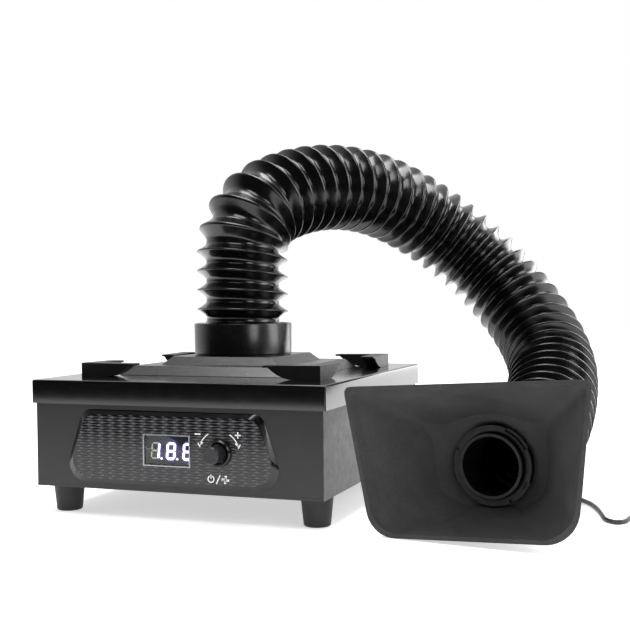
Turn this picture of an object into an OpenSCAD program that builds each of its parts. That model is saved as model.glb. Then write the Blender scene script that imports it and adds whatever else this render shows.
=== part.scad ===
// Solder fume extractor: a low sheet-metal case with a filter and a fan inside,
// and an accordion duct on its lid that ends in a rubber hood.

/* [Case] */
// Width of the top cover
lid_w = 240; // [200:1:320]
// Depth of the top cover
lid_d = 260; // [230:1:340]
// Height of the top of the cover above the bench
lid_top = 104; // [92:1:150]
// Height of the cover's folded skirt
skirt_h = 18; // [10:1:30]
// Gap between the cover's skirt and the case's outer face
case_inset = 2.6; // [2:0.1:6]
// Thickness of the sheet steel
sheet = 1.2; // [0.8:0.1:2]
// Thickness of the bottom plate
bottom_t = 2; // [1.5:0.1:4]
// Height of a foot
foot_h = 22; // [12:1:30]
// Diameter of a foot where it meets the case
foot_d_top = 24.4; // [16:0.1:32]
// Diameter of a foot on the bench
foot_d_bottom = 20; // [12:0.1:28]

/* [Filter and adapter] */
// Side of the square filters
filter_side = 128; // [100:1:140]
// Thickness of the sponge prefilter
sponge_t = 8; // [4:1:10]
// Thickness of the activated carbon filter
carbon_t = 14; // [8:1:16]
// Thickness of the pleated particle filter
hepa_t = 16; // [10:1:18]
// Width of the duct adapter at its base
adapter_w = 156; // [150:1:168]
// Depth of the duct adapter at its base
adapter_d = 144; // [140:1:150]
// Distance of the adapter's centre from the cover's front edge
adapter_y = 133; // [120:1:150]
// Height of the adapter's lower step
step_h = 7.4; // [4:0.1:12]
// Height of the adapter's upper pyramid
pyramid_h = 6.6; // [4:0.1:14]
// Distance between the outer faces of the left and right corner blocks
block_span_x = 203; // [190:1:230]
// Distance between the outer faces of the front and back corner blocks
block_span_y = 182; // [175:1:200]

/* [Hose] */
// Outer diameter of the hose over its pleats
hose_d = 76.6; // [70:0.1:80]
// Wall of the hose
hose_wall = 1.6; // [1:0.1:2.4]
// Height of the hose collar
collar_h = 25.6; // [15:0.1:40]
// Outer diameter of the hose collar
collar_d = 82; // [80:0.1:90]

/* [Hood] */
// Width of the hood's mouth along its upper edge
mouth_w_top = 175; // [140:1:200]
// Width of the hood's mouth along its lower edge
mouth_w_bottom = 144; // [110:1:170]
// Height of the hood's mouth
mouth_h = 104.5; // [90:0.5:120]
// Depth of the hood from its mouth to its throat
hood_depth = 56; // [35:1:80]
// Wall of the rubber hood
hood_wall = 3; // [2:0.1:5]
// Bore of the connector in the hood's throat
throat_d = 41; // [30:0.5:50]

/* [Fan] */
// Side of the fan's square frame
fan_side = 120; // [92:1:120]
// Thickness of the fan
fan_t = 25; // [20:1:28]
// Number of fan blades
blades = 7; // [5:1:11]

/* [Controls] */
// Height of the fascia's centre line above the bench
fascia_z = 54.5; // [50:0.5:60]
// Width of the display window
window_w = 39; // [34:0.5:46]
// Height of the display window
window_h = 24.2; // [18:0.1:30]
// Diameter of the control knob
knob_d = 13; // [10:0.5:16]
// Distance that the knob stands out from the fascia
knob_out = 15.4; // [10:0.1:20]

/* [Hidden] */
$fn = 64;
fit = 0.3;
case_x = -90.5;
case_y = -173;
case_w = lid_w - 2 * case_inset;
case_d = lid_d - 2 * case_inset;
front_y = case_inset;
back_y = lid_d - case_inset;
floor_z = foot_h + bottom_t;
under_lid = lid_top - sheet;
adapter_at = [0, adapter_y, lid_top];
collar_z = lid_top + step_h + pyramid_h + 1;
tray_wall = 1.5;
tray_side = filter_side + 2 * (tray_wall + fit);
tray_floor = 2;
stack_t = hepa_t + carbon_t + sponge_t;
tray_z = under_lid - 2 - stack_t - tray_floor;
fan_z = floor_z + 4;
fan_mid = [0, adapter_y, fan_z];
fascia_t = 3;
panel_y = front_y;
fascia_y = panel_y - fascia_t;
window_at = [-3.9, 53.8];
knob_at = [38.6, 53.5];
board_y = 18;
jack_at = [80, 40];
hub_d = 38;
knob_ring_d = 20;
knob_ring_t = 3;
knob_gap = 1.2;

// Bend table of the hose: bend radius, bend angle and turn of the bending plane
bends = [[52, 56, 1], [190, 23, -14], [190, 23, 0], [130, 60, -34], [130, 60, 0], [470, 13, 14], [240, 17, -46]];
// First and last bend of each hose section above the straight one
sections = [[0, 1], [2, 3], [4, 4], [5, 6]];
// Where the straight section ends, and how the hose leans there
bend_start_z = 208;
lean = 9;
lean_turn = 62;
hose_r = hose_d / 2;
joint_r = hose_r - 3;
joint_mouth = 24;
sleeve_at = 9;
end_gap = 2.5;
riser_gap = 7.5;
ring_step = 18;
hose_sides = 20;
cuff = 28;
hood_turn = -98.5;

// Route of the cord along the bench, from the barrel plug to the coil
cord_d = 3.6;
cord_path = [[80, 288.4, 40], [80, 300, 37], [83, 310, 27], [90, 317, 13], [102, 321, 4], [120, 321, 1.9],
    [145, 314, 1.9], [175, 296, 1.9], [205, 270, 1.9], [232, 238, 1.9], [255, 205, 1.9], [272, 178, 1.9],
    [284, 158, 1.9], [291, 138, 1.9], [296, 118, 1.9], [299, 104, 1.9], [303, 96, 1.9], [309, 93, 1.9],
    [314, 98, 1.9], [316, 108, 1.9], [319, 122, 1.9], [322, 138, 1.9], [324.6, 152, 1.9], [325.8, 166, 1.9]];
coil_at = [351, 172];
coil_out = 54;
coil_in = 32;
coil_h = 11.2;
brick = [52, 40, 28];
brick_at = [354, 226];

// ---- small helpers ----
module at_case() translate([case_x, case_y, 0]) children();
module rod_y(d, y0, y1) translate([0, y1, 0]) rotate([90, 0, 0]) cylinder(d = d, h = y1 - y0);
module plate_y(y0, t) translate([0, y0 + t, 0]) rotate([90, 0, 0]) linear_extrude(t) children();
module block(x, y, z) translate([x[0], y[0], z[0]]) cube([x[1] - x[0], y[1] - y[0], z[1] - z[0]]);
module four(dx, dy) for (sx = [-1, 1], sy = [-1, 1]) translate([sx * dx, sy * dy, 0]) children();
module ring(d_out, d_in, h) difference() {
    cylinder(d = d_out, h = h);
    translate([0, 0, -1]) cylinder(d = d_in, h = h + 2);
}

// Corner of an outline, rounded by an arc of radius r with n steps
function corner(a, b, c, r, n = 6) =
    let (u = (a - b) / norm(a - b), v = (c - b) / norm(c - b), half = acos(u * v) / 2,
        p = b + u * r / tan(half), q = b + v * r / tan(half), m = b + (u + v) / norm(u + v) * r / sin(half),
        a0 = atan2(p.y - m.y, p.x - m.x), turn = atan2(q.y - m.y, q.x - m.x) - a0,
        sweep = turn > 180 ? turn - 360 : (turn < -180 ? turn + 360 : turn))
    [for (i = [0:n]) m + r * [cos(a0 + sweep * i / n), sin(a0 + sweep * i / n)]];
function rounded(pts, r, n = 6) =
    let (k = len(pts))
    [for (i = [0:k - 1]) each corner(pts[(i + k - 1) % k], pts[i], pts[(i + 1) % k], r[i], n)];

// ---- case ----
module top_cover() color("#1b1c1e") at_case() difference() {
    block([-lid_w / 2, lid_w / 2], [0, lid_d], [lid_top - skirt_h, lid_top]);
    block([-lid_w / 2 + sheet, lid_w / 2 - sheet], [sheet, lid_d - sheet], [lid_top - skirt_h - 1, under_lid]);
    translate([0, adapter_y, 0]) block([-tray_side / 2 - fit, tray_side / 2 + fit],
        [-tray_side / 2 - fit, tray_side / 2 + fit], [under_lid - 1, lid_top + 1]);
}
module case_shell() color("#3b3c3e") at_case() difference() {
    block([-case_w / 2, case_w / 2], [front_y + sheet, back_y], [floor_z, under_lid]);
    block([-case_w / 2 + sheet, case_w / 2 - sheet], [front_y + 2 * sheet, back_y - sheet], [floor_z - 1, under_lid + 1]);
    block([-case_w / 2 + 9, case_w / 2 - 9], [front_y, front_y + 3 * sheet], [floor_z - 1, under_lid + 1]);
    block([-80, 40], [back_y - 2 * sheet, back_y + 1], [40, 84]);
    translate([jack_at[0], 0, jack_at[1]]) rod_y(8.4, back_y - 3, back_y + 1);
    at_case_screws() rod_y(3.2, back_y - 3, back_y + 1);
}
module front_panel() color("#3b3c3e") at_case() difference() {
    block([-case_w / 2, case_w / 2], [panel_y, panel_y + sheet], [floor_z, under_lid]);
    translate([window_at[0], 0, window_at[1]]) block([-window_w / 2, window_w / 2], [panel_y - 1, panel_y + 3],
        [-window_h / 2, window_h / 2]);
    translate([knob_at[0], 0, knob_at[1]]) rod_y(7.4, panel_y - 1, panel_y + 3);
}
module bottom_plate() color("#303133") at_case() difference() {
    block([-case_w / 2, case_w / 2], [front_y, back_y], [foot_h, floor_z]);
    at_feet() translate([0, 0, foot_h - 1]) cylinder(d = 4.4, h = bottom_t + 2);
}
module at_feet() for (x = [-lid_w / 2 + 16, lid_w / 2 - 16], y = [26, lid_d - 26]) translate([x, y, 0]) children();
module feet() color("#1d1d1e") at_case() at_feet() difference() {
    cylinder(d1 = foot_d_bottom, d2 = foot_d_top, h = foot_h);
    translate([0, 0, -1]) cylinder(d = 9, h = foot_h - 5);
    cylinder(d = 4.2, h = foot_h + 1);
}
module foot_screws() color("#9a9da0") at_case() at_feet() {
    translate([0, 0, foot_h - 6 - 2.4]) cylinder(d = 7.6, h = 2.4);
    translate([0, 0, foot_h - 6]) cylinder(d = 4, h = bottom_t + 8);
}
module at_case_screws() for (x = [-1, 1], z = [32, 76]) translate([x * (case_w / 2 - 5), 0, z]) children();
module case_screws() color("#85888c") at_case() at_case_screws() {
    rod_y(3, back_y - sheet - 6, back_y);
    difference() {
        rod_y(6, back_y, back_y + 2);
        rod_y(2.4, back_y + 0.8, back_y + 3);
    }
}

// ---- corner blocks: an L with two arms whose undersides sweep up to a thin tip ----
block_h = 10.8;
block_t = 12;
arm_l = 46;
arm_root = 22;
function arm_curve(n) = [for (i = [0:n]) let (t = i / n) [arm_root + (arm_l - 4 - arm_root) * t, (block_h - 2) * t * t]];
module arm() rotate([90, 0, 0]) linear_extrude(block_t)
    polygon(concat([[0, block_h], [0, 0]], arm_curve(6), [[arm_l, block_h - 2], [arm_l, block_h - 0.4]]));
module corner_blocks() color("#242527") at_case() translate([0, adapter_y, lid_top])
    for (mx = [0, 1], my = [0, 1]) mirror([mx, 0, 0]) mirror([0, my, 0])
        translate([-block_span_x / 2, -block_span_y / 2, 0]) {
            translate([0, block_t, 0]) arm();
            mirror([1, -1, 0]) translate([0, block_t, 0]) arm();
        }

// ---- filters ----
module filter_sheet(z, t) translate([0, adapter_y, z]) block([-filter_side / 2, filter_side / 2],
    [-filter_side / 2, filter_side / 2], [0, t]);
module filter_tray() color("#4a4c4f") at_case() translate([0, adapter_y, 0]) difference() {
    half = tray_side / 2;
    union() {
        block([-half, half], [-half, half], [tray_z, under_lid]);
        block([-half - 6, half + 6], [-half - 6, half + 6], [under_lid - 1.2, under_lid]);
    }
    block([-half + tray_wall, half - tray_wall], [-half + tray_wall, half - tray_wall],
        [tray_z + tray_floor, under_lid + 1]);
    block([-half + 10, half - 10], [-half + 10, half - 10], [tray_z - 1, under_lid]);
}
module filter_guard() color("#b4b7ba") at_case() translate([0, adapter_y, tray_z - 1.2])
    intersection() {
        block([-tray_side / 2 + 4, tray_side / 2 - 4], [-tray_side / 2 + 4, tray_side / 2 - 4], [0, 1.2]);
        union() {
            for (d = [24:24:144]) ring(d, d - 3, 1.2);
            for (a = [45, 135]) rotate([0, 0, a]) block([-95, 95], [-2, 2], [0, 1.2]);
            difference() {
                block([-90, 90], [-90, 90], [0, 1.2]);
                block([-tray_side / 2 + 8, tray_side / 2 - 8], [-tray_side / 2 + 8, tray_side / 2 - 8], [-1, 3]);
            }
        }
    }
module hepa_filter() color("#e6e7e2") at_case() filter_sheet(tray_z + tray_floor, hepa_t);
module carbon_filter() color("#1c1c1c") at_case() filter_sheet(tray_z + tray_floor + hepa_t, carbon_t);
module sponge_prefilter() color("#555a5c") at_case() filter_sheet(tray_z + tray_floor + hepa_t + carbon_t, sponge_t);

// ---- duct adapter: a step with sloped sides, then a low pyramid to the collar ----
step_in = 8.5;
adapter_wall = 2;
module frustum(w0, d0, w1, d1, h) intersection() {
    translate([0, 200, 0]) rotate([90, 0, 0]) linear_extrude(400)
        polygon([[-w0 / 2, 0], [w0 / 2, 0], [w1 / 2, h], [-w1 / 2, h]]);
    translate([-200, 0, 0]) rotate([90, 0, 90]) linear_extrude(400)
        polygon([[-d0 / 2, 0], [d0 / 2, 0], [d1 / 2, h], [-d1 / 2, h]]);
}
module adapter_form(in) {
    w1 = adapter_w - 2 * step_in;
    d1 = adapter_d - 2 * step_in;
    top = collar_d + 6;
    base = collar_d + 20;
    frustum(adapter_w - 2 * in, adapter_d - 2 * in, w1 - 2 * in, d1 - 2 * in, step_h);
    translate([0, 0, step_h - 0.01]) frustum(base - 2 * in, base - 2 * in, top - 2 * in, top - 2 * in, pyramid_h + 0.01);
}
module duct_adapter() color("#2a2b2d") at_case() translate(adapter_at) difference() {
    union() {
        adapter_form(0);
        translate([0, 0, step_h]) cylinder(d = collar_d - 4, h = pyramid_h + 1);
    }
    translate([0, 0, -adapter_wall]) adapter_form(adapter_wall);
    translate([0, 0, -1]) cylinder(d = collar_d - 8, h = step_h + pyramid_h + 4);
}
module adapter_gasket() color("#101010") at_case() translate(adapter_at) difference() {
    frustum(adapter_w - 10, adapter_d - 10, adapter_w - 14, adapter_d - 14, 1.2);
    block([-adapter_w / 2 + 9, adapter_w / 2 - 9], [-adapter_d / 2 + 9, adapter_d / 2 - 9], [-1, 3]);
}
module hose_collar() color("#26272a") at_case() translate([0, adapter_y, collar_z])
    difference() {
        cylinder(d = collar_d, h = collar_h);
        translate([0, 0, 3]) cylinder(d = hose_d + 2 * fit, h = collar_h);
        translate([0, 0, -1]) cylinder(d = collar_d - 8, h = collar_h);
    }

// ---- hose: a chain of bends, each placed by the frame at the end of the one before ----
function turn_z(a) = [[cos(a), -sin(a), 0, 0], [sin(a), cos(a), 0, 0], [0, 0, 1, 0], [0, 0, 0, 1]];
function tilt(a) = [[cos(a), 0, sin(a), 0], [0, 1, 0, 0], [-sin(a), 0, cos(a), 0], [0, 0, 0, 1]];
function shift(v) = [[1, 0, 0, v.x], [0, 1, 0, v.y], [0, 0, 1, v.z], [0, 0, 0, 1]];
function bend(r, a) = shift([r * (1 - cos(a)), 0, r * sin(a)]) * tilt(a);
// Frame at the start of bend i, with its bending plane already turned
function frame(i) = i == 0
    ? shift([0, adapter_y, bend_start_z]) * turn_z(lean_turn) * tilt(lean) * turn_z(bends[0][2])
    : frame(i - 1) * bend(bends[i - 1][0], bends[i - 1][1]) * turn_z(i < len(bends) ? bends[i][2] : 0);
function bend_l(i) = bends[i][0] * bends[i][1] * PI / 180;
// Frame at distance s along bends a to b; it runs straight on past both ends, and never twists
function along(a, b, s) = s <= 0 ? frame(a) * shift([0, 0, s])
    : (s <= bend_l(a) ? frame(a) * bend(bends[a][0], s / bend_l(a) * bends[a][1])
    : (a == b ? frame(b) * bend(bends[b][0], bends[b][1]) * shift([0, 0, s - bend_l(b)])
    : along(a + 1, b, s - bend_l(a)) * turn_z(-bends[a + 1][2])));
function on_ball(r, s) = [s, sqrt(r * r - s * s)];
function even(s0, s1, r) = let (n = ceil((s1 - s0) / ring_step)) [for (i = [0:n]) [s0 + (s1 - s0) * i / n, r]];
// Outside then inside of a section: a ball that turns in the section before, then a plain tube
function section_profile(l) = concat(
    [for (s = [-joint_mouth, -16, -8, 0, sleeve_at]) on_ball(joint_r, s)], even(sleeve_at, l, hose_r),
    [for (p = even(-l, -sleeve_at - hose_wall, hose_r - hose_wall)) [-p[0], p[1]]],
    [for (s = [sleeve_at + hose_wall, 0, -8, -16, -joint_mouth]) on_ball(joint_r - hose_wall, s)]);
module shell_of(frames, radii, n) polyhedron(
    points = [for (i = [0:len(radii) - 1], k = [0:n - 1])
        let (p = frames[i] * [radii[i] * cos(k * 360 / n), radii[i] * sin(k * 360 / n), 0, 1]) [p.x, p.y, p.z]],
    faces = [for (i = [0:len(radii) - 1], k = [0:n - 1])
        let (j = (i + 1) % len(radii), m = (k + 1) % n) [i * n + k, j * n + k, j * n + m, i * n + m]]);
module hose_section(k) {
    a = sections[k][0];
    b = sections[k][1];
    l = (a == b ? bend_l(a) : bend_l(a) + bend_l(b)) - (k < len(sections) - 1 ? end_gap : 0);
    profile = section_profile(l);
    color("#141415") at_case()
        shell_of([for (p = profile) along(a, b, p[0])], [for (p = profile) p[1]], hose_sides);
}
module hose_section_1() color("#141415") at_case() translate([0, adapter_y, collar_z + 3 + fit])
    ring(hose_d, hose_d - 2 * hose_wall, bend_start_z - riser_gap - collar_z - 3 - fit);
module hose_section_2() hose_section(0);
module hose_section_3() hose_section(1);
module hose_section_4() hose_section(2);
module hose_section_5() hose_section(3);

// ---- hood: x to the right, y up and z out of the mouth, from the centre of the throat ----
tube_r = throat_d / 2 + 2.7;
throat_y = 43.6;
module at_hood() at_case() multmatrix(frame(len(bends)) * turn_z(hood_turn)) translate([0, 0, cuff]) children();
function mouth(in) = rounded([[-mouth_w_bottom / 2 + in, -throat_y + in], [mouth_w_bottom / 2 - in, -throat_y + in],
    [mouth_w_top / 2 - in, mouth_h - throat_y - in], [-mouth_w_top / 2 + in, mouth_h - throat_y - in]],
    [16 - in, 16 - in, 6 - in, 6 - in]);
module funnel(in, z0, z1) hull() {
    translate([0, 0, z1]) linear_extrude(0.01) polygon(mouth(in));
    translate([0, 0, z0]) cylinder(r = tube_r + 12 - in, h = 0.01, $fn = 48);
}
module hose_connector() color("#0c0c0d") at_hood() difference() {
    union() {
        translate([0, 0, -cuff]) cylinder(r = hose_r, h = 3);
        translate([0, 0, -cuff]) cylinder(r = tube_r, h = cuff + 9);
    }
    translate([0, 0, -cuff - 1]) cylinder(d = throat_d, h = cuff + 12);
}
module hood() color("#3c3d3f") at_hood() difference() {
    union() {
        funnel(0, -hood_wall, hood_depth);
        translate([0, 0, -cuff + 3.3]) cylinder(r = tube_r + fit + 6, h = cuff);
    }
    funnel(hood_wall, 0, hood_depth + 0.02);
    translate([0, 0, -cuff]) cylinder(r = tube_r + fit, h = cuff + 3);
}
module lock_ring() color("#0e0e0f") at_hood() difference() {
    translate([0, 0, 0.4]) cylinder(r = tube_r + 5.6, h = 5);
    cylinder(r = tube_r + fit, h = 8);
    for (a = [45:90:315]) rotate([0, 0, a - 17]) translate([0, 0, 3.4]) rotate_extrude(angle = 34)
        translate([tube_r + 3, 0]) square([4, 4]);
}

// ---- fan ----
module fan_frame() color("#1f2022") at_case() translate(fan_mid) difference() {
    union() {
        difference() {
            block([-fan_side / 2, fan_side / 2], [-fan_side / 2, fan_side / 2], [0, fan_t]);
            translate([0, 0, -1]) cylinder(d = fan_side - 4, h = fan_t + 2);
        }
        cylinder(d = hub_d, h = 2.5);
        for (a = [0, 90]) rotate([0, 0, a]) block([-fan_side / 2 + 1, fan_side / 2 - 1], [-2.5, 2.5], [0, 2.5]);
    }
    four(fan_side / 2 - 7.5, fan_side / 2 - 7.5) translate([0, 0, -1]) cylinder(d = 4.4, h = fan_t + 2);
    translate([0, 0, -1]) cylinder(d = 6, h = 6);
}
module fan_motor() color("#b06a35") at_case() translate(fan_mid + [0, 0, 2.5]) ring(28, 9.4, 12);
module fan_bearings() color("#c9ccd0") at_case() translate(fan_mid) for (z = [3, 10])
    translate([0, 0, z]) ring(9, 3.1, 4);
module fan_rotor() color("#2b2c2f") at_case() translate(fan_mid) {
    difference() {
        translate([0, 0, 3.2]) cylinder(d = hub_d, h = 20);
        translate([0, 0, 2]) cylinder(d = hub_d - 5, h = 18);
    }
    translate([0, 0, 3.4]) cylinder(d = 3, h = 18);
    for (i = [0:blades - 1]) rotate([0, 0, i * 360 / blades])
        translate([hub_d / 2 - 1.2, 0, 13.2]) rotate([38, 0, 0])
            block([0, fan_side / 2 - hub_d / 2 - 3.6], [-13, 13], [-1, 1]);
}
module fan_screws() color("#9a9da0") at_case() translate([0, adapter_y, 0])
    four(fan_side / 2 - 7.5, fan_side / 2 - 7.5) {
        translate([0, 0, fan_z + fan_t]) cylinder(d = 7.4, h = 2);
        translate([0, 0, floor_z]) cylinder(d = 3.9, h = fan_z + fan_t - floor_z + 0.01);
    }
module fan_spacers() color("#151515") at_case() translate([0, adapter_y, floor_z])
    four(fan_side / 2 - 7.5, fan_side / 2 - 7.5) ring(9, 4.2, fan_z - floor_z);

// ---- fascia and controls ----
fascia_x = -2.3;
fascia_top_w = 147;
fascia_bottom_w = 184;
fascia_h = 55.6;
fascia_rim = 3.6;
function fascia_outline(in) = rounded([
    [fascia_x - fascia_bottom_w / 2 + in, fascia_z - fascia_h / 2 + in],
    [fascia_x + fascia_bottom_w / 2 - in, fascia_z - fascia_h / 2 + in],
    [fascia_x + fascia_top_w / 2 - in, fascia_z + fascia_h / 2 - in],
    [fascia_x - fascia_top_w / 2 + in, fascia_z + fascia_h / 2 - in]], [15, 15, 10, 10], 10);
module fascia() color("#17181a") at_case() difference() {
    hull() {
        plate_y(fascia_y, 0.01) polygon(fascia_outline(fascia_rim));
        plate_y(panel_y - 0.3, 0.3) polygon(fascia_outline(0));
    }
    translate([window_at[0], 0, window_at[1]]) block([-window_w / 2, window_w / 2], [-10, 10], [-window_h / 2, window_h / 2]);
    translate([knob_at[0], 0, knob_at[1]]) rod_y(14, -10, 10);
}
module display_bezel() color("#8b8e92") at_case() translate([window_at[0], 0, window_at[1]]) difference() {
    block([-window_w / 2, window_w / 2], [fascia_y - 0.6, panel_y + sheet], [-window_h / 2, window_h / 2]);
    block([-window_w / 2 + 1.3, window_w / 2 - 1.3], [-10, 10], [-window_h / 2 + 1.3, window_h / 2 - 1.3]);
}
module display_window() color("#30343c") at_case() translate([window_at[0], 0, window_at[1]])
    block([-window_w / 2 + 1.3, window_w / 2 - 1.3], [fascia_y + 0.2, fascia_y + 1.7],
        [-window_h / 2 + 1.3, window_h / 2 - 1.3]);
module display_module() color("#e9ecff") at_case() translate([window_at[0], 0, window_at[1] + 1])
    block([-window_w / 2 + 1.5, window_w / 2 - 1.5], [fascia_y + 2, board_y], [-9, 9]);
module knob_ring() color("#0f0f10") at_case() translate([knob_at[0], 0, knob_at[1]]) difference() {
    union() {
        rod_y(knob_ring_d, fascia_y - knob_ring_t, fascia_y);
        rod_y(14, fascia_y, panel_y);
    }
    rod_y(knob_d + 2 * fit, fascia_y - knob_ring_t - 1, fascia_y);
    rod_y(11.6, fascia_y - 1, panel_y + 1);
}
module knob() color("#202123") at_case() translate([knob_at[0], 0, knob_at[1]]) {
    rod_y(knob_d, fascia_y - knob_out, fascia_y - knob_gap);
    rod_y(6, fascia_y - knob_gap - 0.01, board_y - 3);
}
module encoder() color("#7d8084") at_case() translate([knob_at[0], 0, knob_at[1]]) difference() {
    union() {
        block([-6, 6], [board_y - 7, board_y], [-6, 6]);
        rod_y(7, panel_y - 1.4, board_y - 6);
    }
    rod_y(6.1, -20, board_y - 5);
    rod_y(9.6, board_y - 6, board_y - 1);
}
module encoder_rotor() color("#d8d8d2") at_case() translate([knob_at[0], 0, knob_at[1]]) difference() {
    rod_y(9.5, board_y - 5.5, board_y - 2.6);
    rod_y(6.1, -20, board_y);
}
module encoder_nut() color("#b9bcc0") at_case() translate([knob_at[0], 0, knob_at[1]]) difference() {
    translate([0, panel_y, 0]) rotate([90, 0, 0]) cylinder(d = 11, h = 1.4, $fn = 6);
    rod_y(7, -20, 20);
}
module control_board() color("#1e5a3a") at_case() difference() {
    block([-50, 70], [board_y, board_y + 1.6], [30, 80]);
    at_spacers() rod_y(3.2, 0, 40);
}
module at_spacers() for (x = [-46, 66], z = [34, 76]) translate([x, 0, z]) children();
module board_spacers() color("#c8a14a") at_case() at_spacers() {
    difference() {
        rod_y(6, panel_y + sheet, board_y);
        rod_y(3, board_y - 5, board_y + 1);
    }
    rod_y(3, board_y - 4, board_y + 1.6);
    rod_y(5.5, board_y + 1.6, board_y + 3.6);
}

// ---- rear panel ----
module exhaust_grille() color("#2c2d2f") at_case() difference() {
    block([-80, 40], [back_y - sheet - 2, back_y], [40, 84]);
    for (z = [43:5:80]) block([-76, 36], [back_y - 10, back_y + 1], [z, z + 2.6]);
}
module dc_jack() color("#141415") at_case() translate([jack_at[0], 0, jack_at[1]]) difference() {
    union() {
        rod_y(8, back_y - 14, back_y + 1.4);
        rod_y(11, back_y, back_y + 1.4);
        rod_y(10.4, back_y - 14, back_y - sheet - 2.6);
    }
    rod_y(5.8, back_y - 10, back_y + 3);
}
module jack_nut() color("#b9bcc0") at_case() translate([jack_at[0], 0, jack_at[1]]) difference() {
    translate([0, back_y - sheet, 0]) rotate([90, 0, 0]) cylinder(d = 11.5, h = 2.4, $fn = 6);
    rod_y(8, back_y - 10, back_y + 3);
}
// ---- cord ----
module barrel_plug() color("#101011") at_case() translate([jack_at[0], 0, jack_at[1]]) {
    rod_y(5.4, back_y - 8, back_y + 1.5);
    rod_y(9, back_y + 1.4, back_y + 20);
    translate([0, back_y + 31, 0]) rotate([90, 0, 0]) cylinder(d1 = 5, d2 = 9, h = 11);
}
function dir_at(p, i) = let (a = p[max(i - 1, 0)], b = p[min(i + 1, len(p) - 1)]) (b - a) / norm(b - a);
function ring_at(p, i, d, n) =
    let (t = dir_at(p, i), s = cross(t, [0, 0, 1]) / norm(cross(t, [0, 0, 1])), u = cross(s, t))
    [for (k = [0:n - 1]) p[i] + d / 2 * (s * cos(k * 360 / n) + u * sin(k * 360 / n))];
module swept(p, d, n) polyhedron(
    points = [for (i = [0:len(p) - 1]) each ring_at(p, i, d, n)],
    faces = concat([[for (k = [0:n - 1]) k]],
        [for (i = [0:len(p) - 2], k = [0:n - 1]) [i * n + k, (i + 1) * n + k, (i + 1) * n + (k + 1) % n, i * n + (k + 1) % n]],
        [[for (k = [n - 1:-1:0]) (len(p) - 1) * n + k]]));
// Two lead pairs: jack to board along the right wall, and board to fan
wire_d = 2;
module wiring() color("#8a1f1f") at_case() for (s = [0, 4]) {
    swept([[jack_at[0] - 2 + s, back_y - 14, 40], [jack_at[0] - 2 + s, back_y - 22, 40],
        [84 + s, back_y - 36, 30], [84 + s, 60, 30], [74 + s, 36, 32], [66 + s, 27, 37], [60 + s, board_y + 1.6, 40]],
        wire_d, 6);
    swept([[20 + s, board_y + 1.6, 36], [20 + s, 28, 35], [20 + s, 40, 30], [20 + s, 60, 28], [20 + s, 72.8, 29]], wire_d, 6);
}

module power_cord() color("#161617") at_case() swept(cord_path, cord_d, 8);
module cord_coil() color("#161617") at_case() translate([coil_at[0], coil_at[1], 0.1])
    rotate_extrude() translate([coil_in / 2, 0]) square([(coil_out - coil_in) / 2, coil_h]);
module coil_tie() color("#2d2d2f") at_case() translate([coil_at[0] + (coil_out + coil_in) / 4, coil_at[1], 0.1]) difference() {
    block([-(coil_out - coil_in) / 4 - 1.2, (coil_out - coil_in) / 4 + 1.2], [-4, 4], [-0.1, coil_h + 1.2]);
    block([-(coil_out - coil_in) / 4 - 0.6, (coil_out - coil_in) / 4 + 0.4], [-5, 5], [-1, coil_h + 0.05]);
}
module power_adapter() color("#19191b") at_case() translate([brick_at[0], brick_at[1], 0.1])
    block([-brick[0] / 2, brick[0] / 2], [-brick[1] / 2, brick[1] / 2], [0, brick[2]]);
module adapter_pins() color("#c8b27a") at_case() for (y = [-6.35, 6.35])
    translate([brick_at[0] + brick[0] / 2, brick_at[1] + y, 14]) block([0, 16], [-0.8, 0.8], [-3.2, 3.2]);

top_cover();
case_shell();
front_panel();
bottom_plate();
feet();
foot_screws();
case_screws();
corner_blocks();
filter_tray();
filter_guard();
hepa_filter();
carbon_filter();
sponge_prefilter();
duct_adapter();
adapter_gasket();
hose_collar();
hose_section_1();
hose_section_2();
hose_section_3();
hose_section_4();
hose_section_5();
hose_connector();
hood();
lock_ring();
fan_frame();
fan_motor();
fan_bearings();
fan_rotor();
fan_screws();
fan_spacers();
fascia();
display_bezel();
display_window();
display_module();
knob_ring();
knob();
encoder();
encoder_rotor();
encoder_nut();
control_board();
board_spacers();
exhaust_grille();
dc_jack();
jack_nut();
wiring();
barrel_plug();
power_cord();
cord_coil();
coil_tie();
power_adapter();
adapter_pins();
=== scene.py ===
"""Looks of a bench solder fume extractor: a painted steel case with a display and a knob,
an accordion duct standing on its cover, and a rubber hood at the duct's far end."""
import math

import bmesh
import bpy
from mathutils import Matrix, Vector


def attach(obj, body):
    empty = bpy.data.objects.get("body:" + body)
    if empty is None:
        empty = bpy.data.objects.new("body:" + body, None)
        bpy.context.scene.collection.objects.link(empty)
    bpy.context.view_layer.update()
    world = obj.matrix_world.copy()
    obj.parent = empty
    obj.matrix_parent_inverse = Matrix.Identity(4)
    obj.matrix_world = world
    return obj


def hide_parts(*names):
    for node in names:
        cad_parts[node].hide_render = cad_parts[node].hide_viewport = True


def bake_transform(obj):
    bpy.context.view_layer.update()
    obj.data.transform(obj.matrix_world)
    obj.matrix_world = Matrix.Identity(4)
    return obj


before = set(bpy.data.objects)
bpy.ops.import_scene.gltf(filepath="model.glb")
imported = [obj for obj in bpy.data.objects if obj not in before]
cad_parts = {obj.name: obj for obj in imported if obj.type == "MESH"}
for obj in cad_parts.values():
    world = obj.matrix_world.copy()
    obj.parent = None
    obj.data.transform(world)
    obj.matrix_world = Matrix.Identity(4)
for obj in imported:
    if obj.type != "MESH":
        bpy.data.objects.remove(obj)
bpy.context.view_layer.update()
scene = bpy.context.scene

GRAIN_ROUGHNESS = 0.55  # how strongly the finer octaves of a finish's grain show

# The drawing frame: millimetres, x from the case's centre line, y back from the cover's front edge
CASE = Matrix.Translation((-0.0905, -0.173, 0)) @ Matrix.Scale(0.001, 4)


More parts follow.
